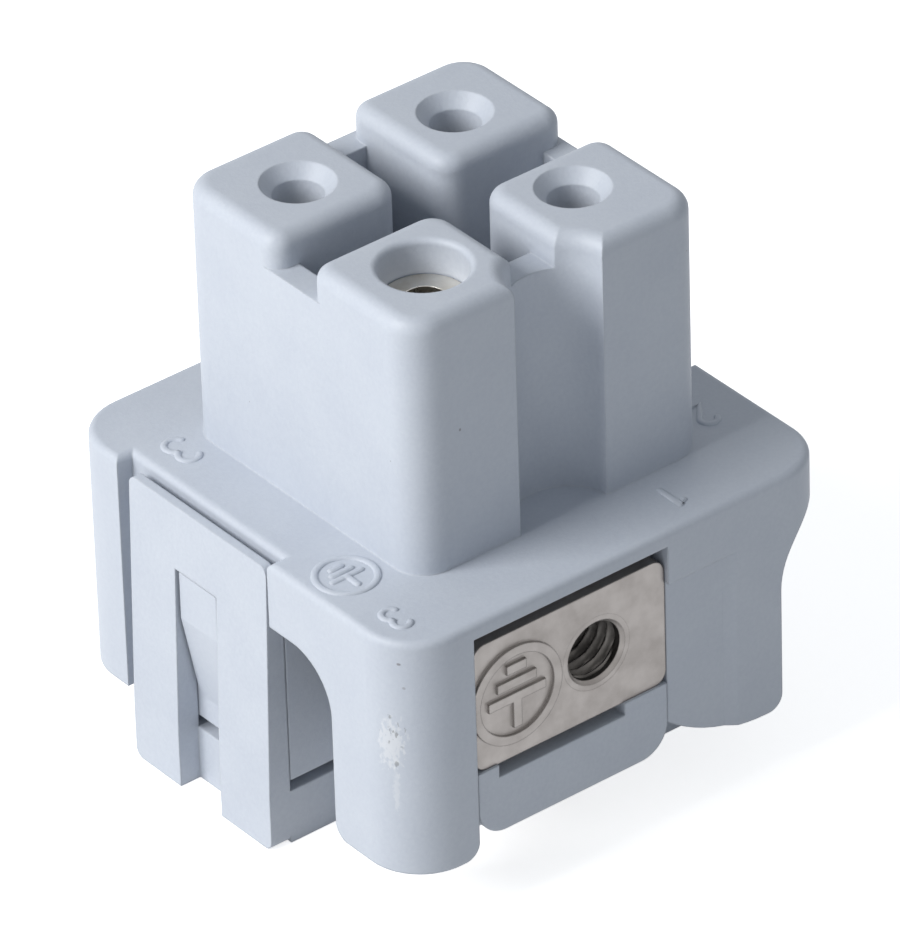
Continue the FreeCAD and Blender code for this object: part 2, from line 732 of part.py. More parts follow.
def socket(name, place, radius, bore, top, foot, block_top, slits):
    """A turned socket and its square screw terminal, the end slit or closed, the screw driven from a way."""
    x, y, way = place
    half = TERMINAL_HALF
    tube_foot = f"{block_top} - {PAST}"
    tube = rod(f"{name}_tube", (x, y, tube_foot), radius, f"{top} - ({tube_foot})")
    terminal = block(f"{name}_block", around(x, half), around(y, half), (foot, block_top))
    eased = rounded(f"{name}_block_eased", terminal, number("terminal_edge"), upright)
    wire_x, wire_y = moved(x, y, BACK[way], "wire_offset")
    tap_place = (*moved(x, y, BACK[way], "tap_deep"), f"{TOP} - screw_drop")
    tap = rod(f"{name}_tap", tap_place, "thread_radius", "tap_deep + terminal_side")
    tools = [
        rod(f"{name}_pin_bore", (x, y, f"{top} - pin_deep"), bore, f"pin_deep + {PAST}"),
        rod(f"{name}_wire_bore", (wire_x, wire_y, f"{foot} - {PAST}"), "wire_radius", f"wire_deep + {PAST}"),
        laid(tap, way),
    ]
    if slits:
        slit, wide = "socket_slit / 2", f"({radius} + {PAST})"
        slit_z = (f"{top} - socket_slit_long", f"{top} + {PAST}")
        tools.append(block(f"{name}_slit_x", around(x, slit), around(y, wide), slit_z))
        tools.append(block(f"{name}_slit_y", around(x, wide), around(y, slit), slit_z))
    return named(cut(f"{name}_finished", joined(f"{name}_whole", [tube, eased]), tools), name)


def clamp_screw(name, place):
    """A slotted M3 clamp screw without a head, drawn open in its terminal."""
    x, y, way = place
    height = f"{TOP} - screw_drop"
    start = moved(x, y, way, SCREW_OUT)
    shank = laid(rod(f"{name}_shank", (*start, height), "screw_radius", "screw_long"), BACK[way])
    doc.recompute()
    rims = [index for index, edge in enumerate(shank.Shape.Edges, start=1) if edge.isClosed()]
    eased = doc.addObject("Part::Chamfer", f"{name}_eased")
    eased.Base = shank
    width = number("screw_chamfer")
    eased.Edges = [(index, width, width) for index in rims]
    middle, reach = (x, y) if way[1] == "X" else (y, x)
    along = span(middle, way[0], f"{SCREW_OUT} - screw_slot_deep", f"{SCREW_OUT} + {PAST}")
    across = around(reach, f"(screw_radius + {PAST})")
    slot_x, slot_y = (along, across) if way[1] == "X" else (across, along)
    slot = block(f"{name}_slot", slot_x, slot_y, around(height, "screw_slot / 2"))
    return named(cut(f"{name}_finished", eased, [slot]), name)


sheet = fill_sheet()

pieces = [insulator_body(), retaining_cap(), earth_plate()]
for side, place in SOCKETS.items():
    throat_foot = f"({CROWN} - mouth_long)"
    label = f"{side}_socket"
    pieces.append(
        socket(label, place, "socket_radius", "pin_bore", throat_foot, "base_thick", CHAMBER_TOP, True)
    )
    pieces.append(clamp_screw(f"{side}_clamp_screw", place))
earth_top = f"({CROWN} - earth_mouth_long)"
earth_foot = f"({TOP} - earth_terminal_drop)"
tab_foot = f"({UNDER_FLANGE} - seat_gap)"
pieces.append(
    socket(
        "earth_socket", EARTH, "earth_socket_radius", "earth_pin_bore", earth_top, earth_foot, tab_foot, False
    )
)
pieces.append(clamp_screw("earth_clamp_screw", EARTH))

doc.recompute()
for item in doc.Objects:
    if "Invalid" in item.State or "Error" in item.State:
        raise RuntimeError(f"{item.Name} failed: {item.State}")
os.makedirs("parts", exist_ok=True)
for piece in pieces:
    shape = piece.Shape
    if shape.isNull() or not shape.isValid():
        raise RuntimeError(f"{piece.Label} has no valid shape")
    shape.exportStep(f"parts/{piece.Label}.step")
    print(piece.Label, len(shape.Solids), round(shape.Volume, 2))
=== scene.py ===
"""Looks of a square heavy duty connector insert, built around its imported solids.

Metres, in the frame of the solids: the origin is the centre of the square at the underside of the cap,
+Z points to the mating face, -X is the face with the clip panel and -Y the face with the earth plate.
"""

import logging
import math
from collections.abc import Sequence
from dataclasses import dataclass
from enum import Enum

import bmesh
import bpy
from mathutils import Matrix, Vector

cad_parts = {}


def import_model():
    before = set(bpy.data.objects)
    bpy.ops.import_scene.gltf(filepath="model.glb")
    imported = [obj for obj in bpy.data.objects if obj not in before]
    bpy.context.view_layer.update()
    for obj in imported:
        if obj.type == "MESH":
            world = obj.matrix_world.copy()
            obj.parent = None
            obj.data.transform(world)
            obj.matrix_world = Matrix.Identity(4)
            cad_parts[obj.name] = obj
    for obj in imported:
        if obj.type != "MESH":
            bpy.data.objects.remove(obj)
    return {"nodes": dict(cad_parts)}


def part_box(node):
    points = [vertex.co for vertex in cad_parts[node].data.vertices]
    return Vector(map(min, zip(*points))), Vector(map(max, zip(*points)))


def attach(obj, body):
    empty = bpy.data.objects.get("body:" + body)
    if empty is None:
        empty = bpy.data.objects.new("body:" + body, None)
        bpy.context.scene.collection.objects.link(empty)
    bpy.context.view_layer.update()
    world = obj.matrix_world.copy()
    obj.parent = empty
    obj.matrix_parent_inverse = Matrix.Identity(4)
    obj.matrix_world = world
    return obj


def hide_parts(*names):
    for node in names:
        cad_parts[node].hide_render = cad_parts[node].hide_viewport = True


MM = 0.001
INSERT = "insert"
FLANGE_TOP_MM = 13.3
SAME_POINT_M = 1e-8
SAME_POINT_MM = 1e-6
BEVEL_SAMPLES = 6

Colour = tuple[float, float, float]
Place = tuple[float, float, float]
Flat = tuple[float, float]
Socket = bpy.types.NodeSocket

log = logging.getLogger("connector_insert")


class Way(Enum):
    """The four faces of the square, as directions that point out of it."""

    CLIP = (-1.0, 0.0, 0.0)
    FAR = (1.0, 0.0, 0.0)
    PLATE = (0.0, -1.0, 0.0)
    REAR = (0.0, 1.0, 0.0)

    def turn(self) -> Matrix:
        """Turn from a piece drawn along +Z to one that points out of this face."""
        return Vector((0.0, 0.0, 1.0)).rotation_difference(Vector(self.value)).to_matrix().to_4x4()


class Glyph(Enum):
    """The plain raised figures of the flange, each a list of strokes in a box one unit high."""

    ONE = "one"
    TWO = "two"
    THREE = "three"
    EARTH = "earth"

    def strokes(self) -> list[list[Flat]]:
        """Give the middle line of each stroke, x to the reader's right and y up."""
        if self is Glyph.ONE:
            return [[(-0.2, 0.3), (0.02, 0.5), (0.02, -0.5)]]
        if self is Glyph.TWO:
            return [arc((0.0, 0.24), 0.26, 165.0, -38.0) + [(-0.27, -0.5), (0.3, -0.5)]]
        if self is Glyph.THREE:
            return [arc((-0.02, 0.25), 0.25, 150.0, -70.0) + arc((-0.02, -0.23), 0.27, 70.0, -155.0)]
        ring = arc((0.0, 0.0), 0.5, 0.0, 360.0)
        bars = [[(-half, y), (half, y)] for half, y in ((0.28, 0.02), (0.19, -0.12), (0.1, -0.26))]
        return [ring, [(0.0, 0.04), (0.0, 0.3)], *bars]


def arc(centre: Flat, radius: float, start: float, end: float, step: float = 12.0) -> list[Flat]:
    """Sample a circular arc.

    Args:
        centre: The middle of the circle.
        radius: The radius of the circle.
        start: The first angle in degrees, from +x.
        end: The last angle in degrees, below start for a clockwise arc.
        step: About how many degrees lie between two points.

    Returns:
        The points from the first angle to the last.
    """
    count = max(2, round(abs(end - start) / step))
    angles = (math.radians(start + (end - start) * i / count) for i in range(count + 1))
    return [(centre[0] + radius * math.cos(a), centre[1] + radius * math.sin(a)) for a in angles]


def mesh_piece(name: str, vertices: Sequence[Place], faces: Sequence[Sequence[int]]) -> bpy.types.Object:
    """Make a smooth-shaded mesh object.

    Args:
        name: The piece's name.
        vertices: The corners, in millimetres.
        faces: The faces, as places in the list of corners.

    Returns:
        The new object, linked to the scene.
    """
    mesh = bpy.data.meshes.new(name)
    mesh.from_pydata([Vector(v) * MM for v in vertices], [], faces)
    work = bmesh.new()
    work.from_mesh(mesh)
    bmesh.ops.remove_doubles(work, verts=work.verts, dist=SAME_POINT_M)
    bmesh.ops.recalc_face_normals(work, faces=work.faces)
    work.to_mesh(mesh)
    work.free()
    mesh.polygons.foreach_set("use_smooth", [True] * len(mesh.polygons))
    piece = bpy.data.objects.new(name, mesh)
    bpy.context.scene.collection.objects.link(piece)
    return piece


def report(piece: bpy.types.Object) -> None:
    """Log a finished piece and how many faces it has."""
    log.info("%s: %d faces", piece.name, len(piece.data.polygons))


class Shader:
    """A material's node tree, with short calls for the nodes that this object's finishes use."""

    def __init__(self, name: str) -> None:
        """Start a material with a plain principled surface.

        Args:
            name: The material's name.
        """
        self.material = bpy.data.materials.new(name)
        self.material.use_nodes = True
        self.tree = self.material.node_tree
        self.surface = self.tree.nodes["Principled BSDF"]
        self.place = self.node("ShaderNodeTexCoord").outputs["Object"]

    def node(self, kind: str, **settings: object) -> bpy.types.Node:
        """Add a node and set its properties.

        Args:
            kind: The node's type.
            settings: Its properties by name.

        Returns:
            The node.
        """
        made = self.tree.nodes.new(kind)
        for name, value in settings.items():
            setattr(made, name, value)
        return made

    def feed(self, target: Socket, value: object) -> None:
        """Link a socket to an input, or set the input to a constant.

        Args:
            target: The input.
            value: A socket or a constant.
        """
        if isinstance(value, Socket):
            self.tree.links.new(value, target)
        else:
            target.default_value = value

    def math(self, operation: str, *values: object) -> Socket:
        """Combine numbers or sockets with one arithmetic operation.

        Args:
            operation: The operation's name.
            values: The numbers or sockets, in order.

        Returns:
            The result.
        """
        made = self.node("ShaderNodeMath", operation=operation)
        for target, value in zip(made.inputs, values):
            self.feed(target, value)
        return made.outputs[0]

    def vector(self, operation: str, output: str, *values: object) -> Socket:
        """Combine vectors with one operation.

        Args:
            operation: The operation's name.
            output: Which output is wanted.
            values: The vectors or sockets, in order.

        Returns:
            The named output.
        """
        made = self.node("ShaderNodeVectorMath", operation=operation)
        for target, value in zip(made.inputs, values):
            self.feed(target, value)
        return made.outputs[output]

    def noise(self, size_mm: float, detail: float = 2.0, stretch: Place = (1.0, 1.0, 1.0)) -> Socket:
        """Add a noise fixed to the object.

        Args:
            size_mm: About how large its blotches are.
            detail: How many finer layers it has.
            stretch: How much denser it is along each axis.

        Returns:
            Its value, around one half.
        """
        made = self.node("ShaderNodeTexNoise")
        made.inputs["Scale"].default_value = 1.0 / (size_mm * MM)
        made.inputs["Detail"].default_value = detail
        self.feed(made.inputs["Vector"], self.vector("MULTIPLY", "Vector", self.place, stretch))
        return made.outputs["Fac"]

    def remap(self, value: object, low: float, high: float, to_low: float, to_high: float) -> Socket:
        """Carry a value from one range to another, without leaving it.

        Args:
            value: The value.
            low: The start of its range.
            high: The end of its range.
            to_low: The start of the range that it is carried to.
            to_high: The end of the range that it is carried to.

        Returns:
            The carried value.
        """
        made = self.node("ShaderNodeMapRange")
        for target, number in zip(made.inputs, (value, low, high, to_low, to_high)):
            self.feed(target, number)
        return made.outputs["Result"]

    def mix(self, share: object, first: object, second: object) -> Socket:
        """Mix two colours.

        Args:
            share: How much of the second colour shows, from 0 to 1.
            first: The first colour.
            second: The second colour.

        Returns:
            The mixed colour.
        """
        made = self.node("ShaderNodeMix", data_type="RGBA")
        for target, value in zip((made.inputs[0], made.inputs[6], made.inputs[7]), (share, first, second)):
            self.feed(target, (*value, 1.0) if isinstance(value, tuple) else value)
        return made.outputs[2]

    def bump(self, height: object, depth_mm: float, under: object = None) -> Socket:
        """Turn a height into a bumped normal.

        Args:
            height: The height, from 0 to 1.
            depth_mm: How deep the full height is.
            under: The normal that it adds to, if any.

        Returns:
            The bumped normal.
        """
        made = self.node("ShaderNodeBump")
        made.inputs["Distance"].default_value = depth_mm * MM
        self.feed(made.inputs["Height"], height)
        if under is not None:
            self.feed(made.inputs["Normal"], under)
        return made.outputs["Normal"]

    def soft_edge(self, radius_mm: float) -> tuple[Socket, Socket]:
        """Round the shading over sharp edges.

        Args:
            radius_mm: The radius of the rounding.

        Returns:
            The rounded normal, and a share that is 0 on a face and grows towards an edge.
        """
        made = self.node("ShaderNodeBevel", samples=BEVEL_SAMPLES)
        made.inputs["Radius"].default_value = radius_mm * MM
        normal = made.outputs["Normal"]
        flat = self.node("ShaderNodeNewGeometry").outputs["Normal"]
        along = self.vector("DOT_PRODUCT", "Value", normal, flat)
        return normal, self.remap(along, 0.99, 0.75, 0.0, 1.0)


@dataclass(frozen=True)
class Blemish:
    """A mark on the surface, such as a scuff or a speck of dirt.

    Attributes:
        place: Its middle, in millimetres.
        reach: Its half sizes along the axes, in millimetres.
        colour: Its colour.
        ragged: How much noise breaks its edge, from 0 to 1.
        grain_mm: How large the tears of its edge are.
        strength: How much of the plastic it covers, from 0 to 1.
        sparse: How far it is thinned out to separate spots, from 0 to about 1.
    """

    place: Place
    reach: Place
    colour: Colour
    ragged: float = 0.3
    grain_mm: float = 0.3
    strength: float = 1.0
    sparse: float = 0.0


SCUFF_PALE: Colour = (0.8, 0.8, 0.8)
GRIT_GREY: Colour = (0.2, 0.2, 0.2)
SPECK_BROWN: Colour = (0.22, 0.21, 0.22)
BODY_BLEMISHES = (
    Blemish((-10.2, -9.15, 8.6), (0.6, 0.6, 1.3), SCUFF_PALE, 0.5, 0.14, 0.4),
    Blemish((-10.12, -9.3, 6.6), (0.16, 0.16, 1.3), SCUFF_PALE, 0.4, 0.14, 0.25),
    Blemish((-10.17, -9.22, 9.2), (0.5, 0.5, 0.85), GRIT_GREY, 1.3, 0.2, 0.6, 0.95),
    Blemish((-10.12, -9.33, 7.75), (0.13, 0.13, 0.15), GRIT_GREY, 0.4, 0.1, 0.6),
    Blemish((-10.01, -9.54, 12.34), (0.11, 0.11, 0.08), SPECK_BROWN, strength=0.8),
    Blemish((-9.91, -9.67, 11.27), (0.08, 0.08, 0.08), SPECK_BROWN, strength=0.45),
    Blemish((-4.86, -7.05, 19.33), (0.06, 0.06, 0.08), SPECK_BROWN, strength=0.8),
)


@dataclass(frozen=True)
class MouldedPlastic:
    """Light blue-grey moulded plastic with a fine eroded grain, softly rounded edges and a painted
    highlight along them.

    Attributes:
        colour: Its main colour.
        pale: The colour of its lighter mottling.
        edge: The lighter colour painted along its edges, a painted highlight.
        edge_share: How much of the edge colour shows.
        roughness: About how rough it is.
        edge_mm: The radius of its broken edges.
        cloud_mm: The size of its broad clouds.
        mottle_mm: The size of its mottling.
        grain_mm: The size of its eroded grain.
        speck_cell_mm: How far apart specks of dust may lie.
        blemishes: Its scuffs and larger specks.
    """

    colour: Colour = (0.5, 0.535, 0.6)
    pale: Colour = (0.55, 0.585, 0.64)
    edge: Colour = (0.66, 0.69, 0.73)
    edge_share: float = 0.35
    roughness: float = 0.5
    edge_mm: float = 0.12
    cloud_mm: float = 2.6
    mottle_mm: float = 0.17
    grain_mm: float = 0.07
    speck_cell_mm: float = 2.2
    blemishes: tuple[Blemish, ...] = ()

    def make(self, name: str) -> bpy.types.Material:
        """Build the material.

        Args:
            name: The material's name.

        Returns:
            The material.
        """
        shader = Shader(name)
        cloud = shader.noise(self.cloud_mm, 3.0)
        mottle = shader.noise(self.mottle_mm, 3.0)
        grain = shader.noise(self.grain_mm, 2.0)
        broad = shader.remap(cloud, 0.3, 0.7, -0.1, 0.35)
        share = shader.math("ADD", broad, shader.remap(mottle, 0.3, 0.7, 0.0, 0.6))
        paint = shader.mix(share, self.colour, self.pale)
        rounded, near_edge = shader.soft_edge(self.edge_mm)
        # Painted highlight: the colour is lightened along every edge, convex and concave, by the edge
        # share.
        paint = shader.mix(shader.math("MULTIPLY", near_edge, self.edge_share), paint, self.edge)
        paint = self._specks(shader, paint)
        rough = shader.remap(mottle, 0.2, 0.8, self.roughness - 0.05, self.roughness + 0.1)
        worn = None
        for blemish in self.blemishes:
            mask = self._mask(shader, blemish)
            paint = shader.mix(mask, paint, blemish.colour)
            worn = mask if worn is None else shader.math("MAXIMUM", worn, mask)
        if worn is not None:
            rough = shader.math("ADD", rough, shader.math("MULTIPLY", worn, 0.2))
        shader.feed(shader.surface.inputs["Base Color"], paint)
        shader.feed(shader.surface.inputs["Roughness"], rough)
        waved = shader.bump(cloud, 0.03, rounded)
        fine = shader.bump(mottle, 0.008, waved)
        shader.feed(shader.surface.inputs["Normal"], shader.bump(grain, 0.004, fine))
        return shader.material

    def _specks(self, shader: Shader, paint: Socket) -> Socket:
        """Scatter a few tiny dark specks of dust.

        Args:
            shader: The material's nodes.
            paint: The colour so far.

        Returns:
            The colour with the specks.
        """
        cell = shader.node("ShaderNodeTexVoronoi")
        cell.inputs["Scale"].default_value = 1.0 / (self.speck_cell_mm * MM)
        shader.feed(cell.inputs["Vector"], shader.place)
        draw = shader.node("ShaderNodeSeparateColor")
        shader.feed(draw.inputs[0], cell.outputs["Color"])
        radius = shader.remap(draw.outputs[0], 0.5, 1.0, 0.0, 0.028)
        mask = shader.math("LESS_THAN", cell.outputs["Distance"], radius)
        return shader.mix(shader.math("MULTIPLY", mask, 0.55), paint, SPECK_BROWN)

    @staticmethod
    def _mask(shader: Shader, blemish: Blemish) -> Socket:
        """Shape a blemish.

        Args:
            shader: The material's nodes.
            blemish: The blemish.

        Returns:
            A share that is the blemish's strength inside it and 0 away from it.
        """
        middle = Vector(blemish.place) * MM
        scale = tuple(1.0 / (reach * MM) for reach in blemish.reach)
        offset = shader.vector("SUBTRACT", "Vector", shader.place, tuple(middle))
        length = shader.vector("LENGTH", "Value", shader.vector("MULTIPLY", "Vector", offset, scale))
        torn = shader.noise(blemish.grain_mm, 4.0, (1.0, 1.0, 0.6))
        least, most = blemish.sparse - blemish.ragged, blemish.sparse + blemish.ragged
        length = shader.math("ADD", length, shader.remap(torn, 0.3, 0.7, least, most))
        return shader.remap(length, 0.55, 0.95, blemish.strength, 0.0)


@dataclass(frozen=True)
class PlatedMetal:
    """Plated metal with a direction of working, faint blotches, and a colour painted along its edges that
    stands in for light and shade there.

    Attributes:
        colour: Its main colour.
        dull: The colour of its blotches.
        roughness: About how rough it is.
        lines_mm: The size of its working lines.
        stretch: How much denser those lines are along each axis.
        edge_mm: The radius of its broken edges.
        edge: The colour painted along its edges: painted shade where it is darker than the metal, painted
            highlight where it is lighter.
        edge_share: How much of the edge colour shows.
        blotch_mm: The size of its blotches.
    """

    colour: Colour
    dull: Colour
    roughness: float
    lines_mm: float = 0.05
    stretch: Place = (1.0, 1.0, 1.0)
    edge_mm: float = 0.05
    edge: Colour = (0.6, 0.59, 0.57)
    edge_share: float = 0.4
    blotch_mm: float = 0.9

    def make(self, name: str) -> bpy.types.Material:
        """Build the material.

        Args:
            name: The material's name.

        Returns:
            The material.
        """
        shader = Shader(name)
        blotch = shader.noise(self.blotch_mm, 4.0)
        lines = shader.noise(self.lines_mm, 2.0, self.stretch)
        rounded, near_edge = shader.soft_edge(self.edge_mm)
        paint = shader.mix(shader.remap(blotch, 0.35, 0.7, 0.0, 1.0), self.colour, self.dull)
        # Painted light and shade: the colour is pulled towards the edge colour along every edge, convex and
        # concave.
        paint = shader.mix(shader.math("MULTIPLY", near_edge, self.edge_share), paint, self.edge)
        rough = shader.remap(blotch, 0.3, 0.7, self.roughness - 0.06, self.roughness + 0.1)
        shader.surface.inputs["Metallic"].default_value = 1.0
        shader.feed(shader.surface.inputs["Base Color"], paint)
        shader.feed(shader.surface.inputs["Roughness"], rough)
        waved = shader.bump(blotch, 0.012, rounded)
        shader.feed(shader.surface.inputs["Normal"], shader.bump(lines, 0.004, waved))
        return shader.material


class Finishes:
    """One material for each finish of the insert."""

    def __init__(self) -> None:
        """Make every material once."""
        self.body = MouldedPlastic(blemishes=BODY_BLEMISHES).make("body_plastic")
        self.cap = MouldedPlastic(colour=(0.49, 0.525, 0.59)).make("cap_plastic")
        # The nickel's near-black edge colour is painted shade along the plate's border and the creases of
        # its raised symbol.
        self.nickel = PlatedMetal(
            colour=(0.325, 0.304, 0.292),
            dull=(0.29, 0.27, 0.258),
            roughness=0.44,
            lines_mm=0.1,
            stretch=(1.0, 1.0, 2.0),
            edge_mm=0.09,
            edge=(0.1, 0.095, 0.09),
            edge_share=0.75,
        ).make("nickel")
        # The thread is a darker copy of the nickel, painted shade inside the hole; its lighter default edge
        # colour is a painted highlight on the crests.
        self.thread = PlatedMetal(
            (0.14, 0.132, 0.125), (0.08, 0.076, 0.072), 0.42, lines_mm=0.1
        ).make("thread_nickel_painted_shade")
        # The silver and the zinc take the default edge colour, darker than they are: painted shade along
        # their edges.
        self.silver = PlatedMetal(
            (0.8, 0.78, 0.73), (0.64, 0.6, 0.53), 0.3, lines_mm=0.08, stretch=(0.4, 0.4, 3.0)
        ).make("silver")
        self.zinc = PlatedMetal((0.62, 0.64, 0.68), (0.5, 0.5, 0.5), 0.32, 0.1).make("zinc")


@dataclass
class Mouldings:
    """The two mouldings, whose solids carry their own finish."""

    finishes: Finishes
    nodes: dict[str, bpy.types.Object]

    def dress(self) -> None:
        """Give the body and the cap their plastic."""
        for name, finish in (("insulator_body", self.finishes.body), ("retaining_cap", self.finishes.cap)):
            node = self.nodes[name]
            paint(node, finish)
            report(node)


def paint(node: bpy.types.Object, finish: bpy.types.Material) -> None:
    """Put one finish in a solid's material slot.

    Args:
        node: The solid.
        finish: The finish.
    """
    node.data.materials.clear()
    node.data.materials.append(finish)


@dataclass
class RaisedMark:
    """A figure moulded proud of the flange top, which reads from the rear face.

    Attributes:
        name: The piece's name.
        glyph: What it shows.
        middle_mm: Its middle on the flange, x and y.
        high_mm: How high the figure is.
        stroke_mm: How wide its strokes are.
        rise_mm: How far they stand above the flange.
        sunk_mm: How far their sides reach into the flange.
        sides: How many faces the round section of a stroke has.
        tip: The angles at which a stroke's rounded end is drawn, in radians.
    """

    name: str
    glyph: Glyph
    middle_mm: Flat
    high_mm: float
    stroke_mm: float = 0.28
    rise_mm: float = 0.085
    sunk_mm: float = 0.02
    sides: int = 8
    tip: tuple[float, ...] = (0.0, 0.5, 1.0, 1.35)

    def build(self, finish: bpy.types.Material) -> bpy.types.Object:
        """Build the mark and let it ride on the insert.

        Args:
            finish: The plastic of the body.

        Returns:
            The piece.
        """
        vertices: list[Place] = []
        faces: list[list[int]] = []
        for stroke in self.glyph.strokes():
            self._sweep([(-x * self.high_mm, -y * self.high_mm) for x, y in stroke], vertices, faces)
        piece = mesh_piece(self.name, vertices, faces)
        piece.data.materials.append(finish)
        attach(piece, INSERT)
        report(piece)
        return piece

    def _sweep(self, line: list[Flat], vertices: list[Place], faces: list[list[int]]) -> None:
        """Sweep the low round section of a stroke along its line.

        Args:
            line: The stroke's middle line, in millimetres from the mark's middle.
            vertices: The corners so far, which grow.
            faces: The faces so far, which grow.
        """
        points = [Vector(p) for p in line]
        closed = (points[0] - points[-1]).length < SAME_POINT_MM
        if closed:
            points = points[:-1]
        half = self.stroke_mm / 2
        stations: list[tuple[Vector, Vector, float]] = []
        for i, point in enumerate(points):
            before = points[i - 1] if closed or i > 0 else point
            after = points[(i + 1) % len(points)] if closed or i < len(points) - 1 else point
            stations.append((point, (after - before).normalized(), 1.0))
        if not closed:
            head = [(math.cos(a), math.sin(a)) for a in self.tip]
            first, last = stations[0], stations[-1]
            start = [(first[0] - first[1] * half * out, first[1], scale) for scale, out in reversed(head)]
            end = [(last[0] + last[1] * half * out, last[1], scale) for scale, out in head]
            stations = start[:-1] + stations + end[1:]
        base, ring = len(vertices), self.sides + 1
        for point, along, scale in stations:
            across = Vector((-along.y, along.x))
            for k in range(ring):
                angle = math.pi * k / self.sides
                at = point + across * (half * scale * math.cos(angle))
                sunk = self.sunk_mm if k in (0, self.sides) else 0.0
                rise = self.rise_mm * scale * math.sin(angle) - sunk
                vertices.append((self.middle_mm[0] + at.x, self.middle_mm[1] + at.y, FLANGE_TOP_MM + rise))
        count = len(stations)
        for i in range(count if closed else count - 1):
            a, b = base + i * ring, base + ((i + 1) % count) * ring
            faces.extend([a + k, a + k + 1, b + k + 1, b + k] for k in range(self.sides))


@dataclass(frozen=True)
class Thread:
    """A vee thread with small flats, written as a radius along and around its axis.

    Attributes:
        crest_mm: Its largest radius.
        root_mm: Its smallest radius.
        pitch_mm: How far one turn moves along.
        long_mm: How long the threaded stretch is.
        around: How many points one turn has.
        per_pitch: How many points one pitch has along the axis.
    """

    crest_mm: float
    root_mm: float
    pitch_mm: float
    long_mm: float
    around: int = 48
    per_pitch: int = 10

    def radius(self, along_mm: float, angle: float) -> float:
        """Work out the thread's surface.

        Args:
            along_mm: A place along the axis.
            angle: An angle around it, in radians.

        Returns:
            The radius there.
        """
        phase = (along_mm / self.pitch_mm - angle / (2 * math.pi)) % 1.0
        height = min(1.0, max(0.0, 1.35 * (1.0 - abs(2.0 * phase - 1.0)) - 0.12))
        return self.root_mm + (self.crest_mm - self.root_mm) * height

    def rows(self, limit: list[tuple[float, float, float]]) -> list[list[Place]]:
        """Draw the thread along +Z as rows of points.

        Args:
            limit: Stations along the axis, each with the least and the most that the radius may be there.

        Returns:
            One row of points for each step along the axis.
        """
        steps = round(self.long_mm / self.pitch_mm * self.per_pitch)
        drawn = []
        for i in range(steps + 1):
            along = self.long_mm * i / steps
            low, high = self._between(limit, along)
            row = []
            for k in range(self.around):
                angle = 2 * math.pi * k / self.around
                radius = min(high, max(low, self.radius(along, angle)))
                row.append((radius * math.cos(angle), radius * math.sin(angle), along))
            drawn.append(row)
        return drawn

    @staticmethod
    def _between(limit: list[tuple[float, float, float]], along: float) -> tuple[float, float]:
        """Read the limits of the radius between two stations.

        Args:
            limit: The stations.
            along: A place along the axis.

        Returns:
            The least and the most that the radius may be there.
        """
        for (z0, low0, high0), (z1, low1, high1) in zip(limit, limit[1:]):
            if z0 <= along <= z1:
                share = (along - z0) / (z1 - z0)
                return low0 + (low1 - low0) * share, high0 + (high1 - high0) * share
        return limit[-1][1], limit[-1][2]


def woven(rows: list[list[Place]]) -> tuple[list[Place], list[list[int]]]:
    """Join closed rows of points into a tube of four-sided faces.

    Args:
        rows: Rows with the same number of points.

    Returns:
        The points and the faces.
    """
    width = len(rows[0])
    vertices = [point for row in rows for point in row]
    faces = [
        [i * width + k, i * width + (k + 1) % width, (i + 1) * width + (k + 1) % width, (i + 1) * width + k]
        for i in range(len(rows) - 1)
        for k in range(width)
    ]
    return vertices, faces


@dataclass
class EarthPlate:
    """The earth plate and the fine thread of its fixing hole, which ends in a lip flush with the plate.

    Attributes:
        hole_mm: The back end of the hole's middle line.
        runout_mm: How far the thread takes to run in at the back.
        lip_mm: The lip's rings in front of the thread, each a radius and how far it lies past the thread.
        lip_start: The first of those rings that has the plate's own finish; the rings before it and the
            thread take the darker thread material, painted shade in the hole.
        thread: The thread behind the lip.
    """

    finishes: Finishes
    nodes: dict[str, bpy.types.Object]
    hole_mm: Place = (-1.2, -7.9, 9.24)
    runout_mm: float = 0.08
    lip_mm: tuple[Flat, ...] = ((1.24, 0.06), (1.26, 0.24), (1.38, 0.35), (1.4, 0.39), (1.61, 0.39))
    lip_start: int = 1
    thread: Thread = Thread(crest_mm=1.495, root_mm=1.22, pitch_mm=0.5, long_mm=2.0)

    def dress(self) -> None:
        """Give the plate its nickel and cut the thread into its hole."""
        plate = self.nodes["earth_plate"]
        paint(plate, self.finishes.nickel)
        report(plate)
        crest, root, long = self.thread.crest_mm, self.thread.root_mm, self.thread.long_mm
        limit = [(0.0, crest, crest), (self.runout_mm, root, crest), (long, root, crest)]
        rows = self.thread.rows(limit)
        count = self.thread.around
        turns = [2 * math.pi * k / count for k in range(count)]
        for ring, past in self.lip_mm:
            rows.append([(ring * math.cos(turn), ring * math.sin(turn), long + past) for turn in turns])
        vertices, faces = woven(rows)
        piece = mesh_piece("earth_plate_thread", vertices, faces)
        # Faces deep in the hole take the darker thread material, painted shade; those near the plate's face
        # take the nickel.
        bright = long + self.lip_mm[self.lip_start][1]
        for face in piece.data.polygons:
            face.material_index = int(face.center.z > bright * MM)
        piece.data.set_sharp_from_angle(angle=math.radians(40.0))
        piece.data.transform(Matrix.Translation(Vector(self.hole_mm) * MM) @ Way.PLATE.turn())
        piece.data.materials.append(self.finishes.thread)
        piece.data.materials.append(self.finishes.nickel)
        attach(piece, INSERT)
        report(piece)


@dataclass
class Sockets:
    """The turned sockets with their terminals, whose solids carry their own finish."""

    finishes: Finishes
    nodes: dict[str, bpy.types.Object]
    names: tuple[str, ...] = ("left_socket", "back_socket", "right_socket", "earth_socket")

    def dress(self) -> None:
        """Give every socket its silver plate."""
        for name in self.names:
            paint(self.nodes[name], self.finishes.silver)
            report(self.nodes[name])


